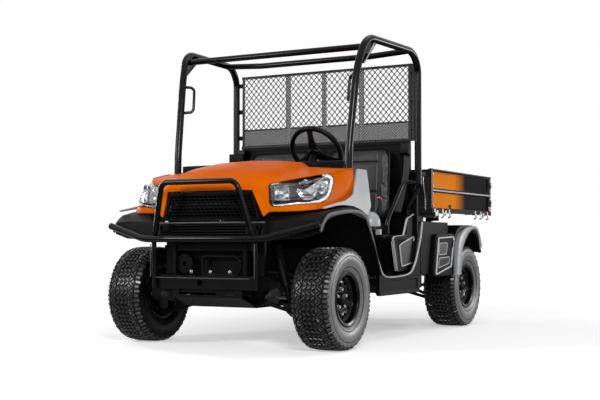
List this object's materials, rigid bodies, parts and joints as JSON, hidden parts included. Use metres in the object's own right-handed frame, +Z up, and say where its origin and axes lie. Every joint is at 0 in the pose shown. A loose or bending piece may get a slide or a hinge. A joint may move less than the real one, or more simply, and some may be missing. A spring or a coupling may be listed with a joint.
{
  "type": "side by side utility vehicle",
  "caption": "Open side by side utility vehicle with roll frame, hinged hood, steered front wheels, bumper hoop, mesh rear screen and a tipping load bed with drop tailgate.",
  "frame": {"origin": "on the ground, under the middle of the vehicle's bounding box", "axes": "+X to the driver's (left) side, -Y forward, +Z up"},
  "size_m": [1.606, 3.208, 2.0009],
  "materials": {
    "black_rubber": "moulded rubber",
    "black_steel": "gloss black powder coat on steel",
    "frame_steel": "satin black paint on steel",
    "cast_metal": "rough casting",
    "bare_steel": "plain steel",
    "orange_paint": "gloss orange enamel",
    "black_plastic": "grained black plastic",
    "silver_plastic": "silver grey plastic",
    "seat_vinyl": "grained vinyl",
    "screen_mesh": "satin grey punched sheet",
    "bed_paint": "charcoal paint on pressed steel",
    "lamp_glass": "clear lamp lens"
  },
  "bodies": {
    "chassis": {"bed_pivots": "frame_steel", "bumper_hoop": "black_steel", "bumper_tube": "black_steel", "cab_floor": "black_plastic", "crossmembers": "frame_steel", "dampers": "frame_steel", "dashboard": "black_plastic", "drive_shafts": "bare_steel", "engine_block": "cast_metal", "frame_rails": "frame_steel", "front_cover": "black_plastic", "front_flares": "black_plastic", "front_plate": "frame_steel", "gearcases": "cast_metal", "grab_handles": "black_steel", "hip_guards": "black_steel", "hitch_receiver": "frame_steel", "pedals": "frame_steel", "rack_housing": "cast_metal", "radiator": "frame_steel", "rear_arches": "silver_plastic", "rear_hub_carriers": "cast_metal", "rear_panels": "black_plastic", "rear_screen": "screen_mesh", "rops_cross_tubes": "black_steel", "rops_hoops": "black_steel", "seat_backs": "seat_vinyl", "seat_base": "black_plastic", "seat_cushions": "seat_vinyl", "seat_side_covers": "black_plastic", "side_panels": "silver_plastic", "silencer": "bare_steel", "sills": "black_plastic", "skid_plate": "frame_steel", "steering_column": "black_plastic", "suspension_mounts": "frame_steel", "wishbones": "frame_steel"},
    "hood": {"hood": "orange_paint", "grille": "black_plastic", "headlights": "lamp_glass"},
    "steering_wheel": {"steering_wheel": "black_plastic"},
    "knuckle_left": {"knuckle_left": "cast_metal"},
    "knuckle_right": {"knuckle_right": "cast_metal"},
    "steering_rack": {"steering_rack": "bare_steel"},
    "bed": {"bed_floor": "bed_paint", "bed_channels": "frame_steel", "bed_headboard": "bed_paint", "bed_sides": "bed_paint"},
    "tailgate": {"tailgate": "bed_paint"},
    "lift_barrel": {"lift_barrel": "frame_steel"},
    "lift_rod": {"lift_rod": "bare_steel"},
    "wheel_front_left": {"tyre_front_left": "black_rubber", "rim_front_left": "black_steel"},
    "wheel_front_right": {"tyre_front_right": "black_rubber", "rim_front_right": "black_steel"},
    "wheel_rear_left": {"tyre_rear_left": "black_rubber", "rim_rear_left": "black_steel"},
    "wheel_rear_right": {"tyre_rear_right": "black_rubber", "rim_rear_right": "black_steel"}
  },
  "joints": [
    {"name": "steer_left", "type": "hinge", "parent": "chassis", "child": "knuckle_left", "pos_m": [0.566, -1.146, 0.311], "axis": [0, 0, 1], "range_deg": [-30, 30]},
    {"name": "steer_right", "type": "hinge", "parent": "chassis", "child": "knuckle_right", "pos_m": [-0.566, -1.146, 0.311], "axis": [0, 0, 1], "range_deg": [-30, 30]},
    {"name": "steering_wheel_turn", "type": "hinge", "parent": "chassis", "child": "steering_wheel", "pos_m": [0.29, -0.616, 1.258], "axis": [0, 0.5878, 0.809], "range_deg": [-361, 361]},
    {"name": "rack_slide", "type": "slide", "parent": "chassis", "child": "steering_rack", "axis": [1, 0, 0], "range_m": [-0.048, 0.048]},
    {"name": "spin_front_left", "type": "hinge", "parent": "knuckle_left", "child": "wheel_front_left", "pos_m": [0.676, -1.146, 0.311], "axis": [1, 0, 0], "continuous": true},
    {"name": "spin_front_right", "type": "hinge", "parent": "knuckle_right", "child": "wheel_front_right", "pos_m": [-0.676, -1.146, 0.311], "axis": [1, 0, 0], "continuous": true},
    {"name": "spin_rear_left", "type": "hinge", "parent": "chassis", "child": "wheel_rear_left", "pos_m": [0.635, 1.004, 0.311], "axis": [1, 0, 0], "continuous": true},
    {"name": "spin_rear_right", "type": "hinge", "parent": "chassis", "child": "wheel_rear_right", "pos_m": [-0.635, 1.004, 0.311], "axis": [1, 0, 0], "continuous": true},
    {"name": "hood_hinge", "type": "hinge", "parent": "chassis", "child": "hood", "pos_m": [0, -0.89, 1.158], "axis": [-1, 0, 0], "range_deg": [0, 55]},
    {"name": "bed_dump", "type": "hinge", "parent": "chassis", "child": "bed", "pos_m": [0, 1.554, 0.842], "axis": [-1, 0, 0], "range_deg": [0, 45]},
    {"name": "tailgate_hinge", "type": "hinge", "parent": "bed", "child": "tailgate", "pos_m": [0, 1.595, 0.88], "axis": [-1, 0, 0], "range_deg": [0, 90]},
    {"name": "lift_pivot", "type": "hinge", "parent": "chassis", "child": "lift_barrel", "pos_m": [0, 1.154, 0.43], "axis": [-1, 0, 0], "range_deg": [0, 6.79]},
    {"name": "lift_slide", "type": "slide", "parent": "lift_barrel", "child": "lift_rod", "axis": [0, 0.1196, 0.9928], "range_m": [0, 0.2634]}
  ],
  "couplings": [
    {"joint": "steer_right", "follows": "steer_left", "ratio": 1},
    {"joint": "steering_wheel_turn", "follows": "steer_left", "ratio": 12},
    {"joint": "rack_slide", "follows": "steer_left", "m_per_rad": -0.09},
    {"joint": "lift_pivot", "follows": "bed_dump", "ratio": 0.13967},
    {"joint": "lift_slide", "follows": "bed_dump", "m_per_rad": 0.33287}
  ]
}
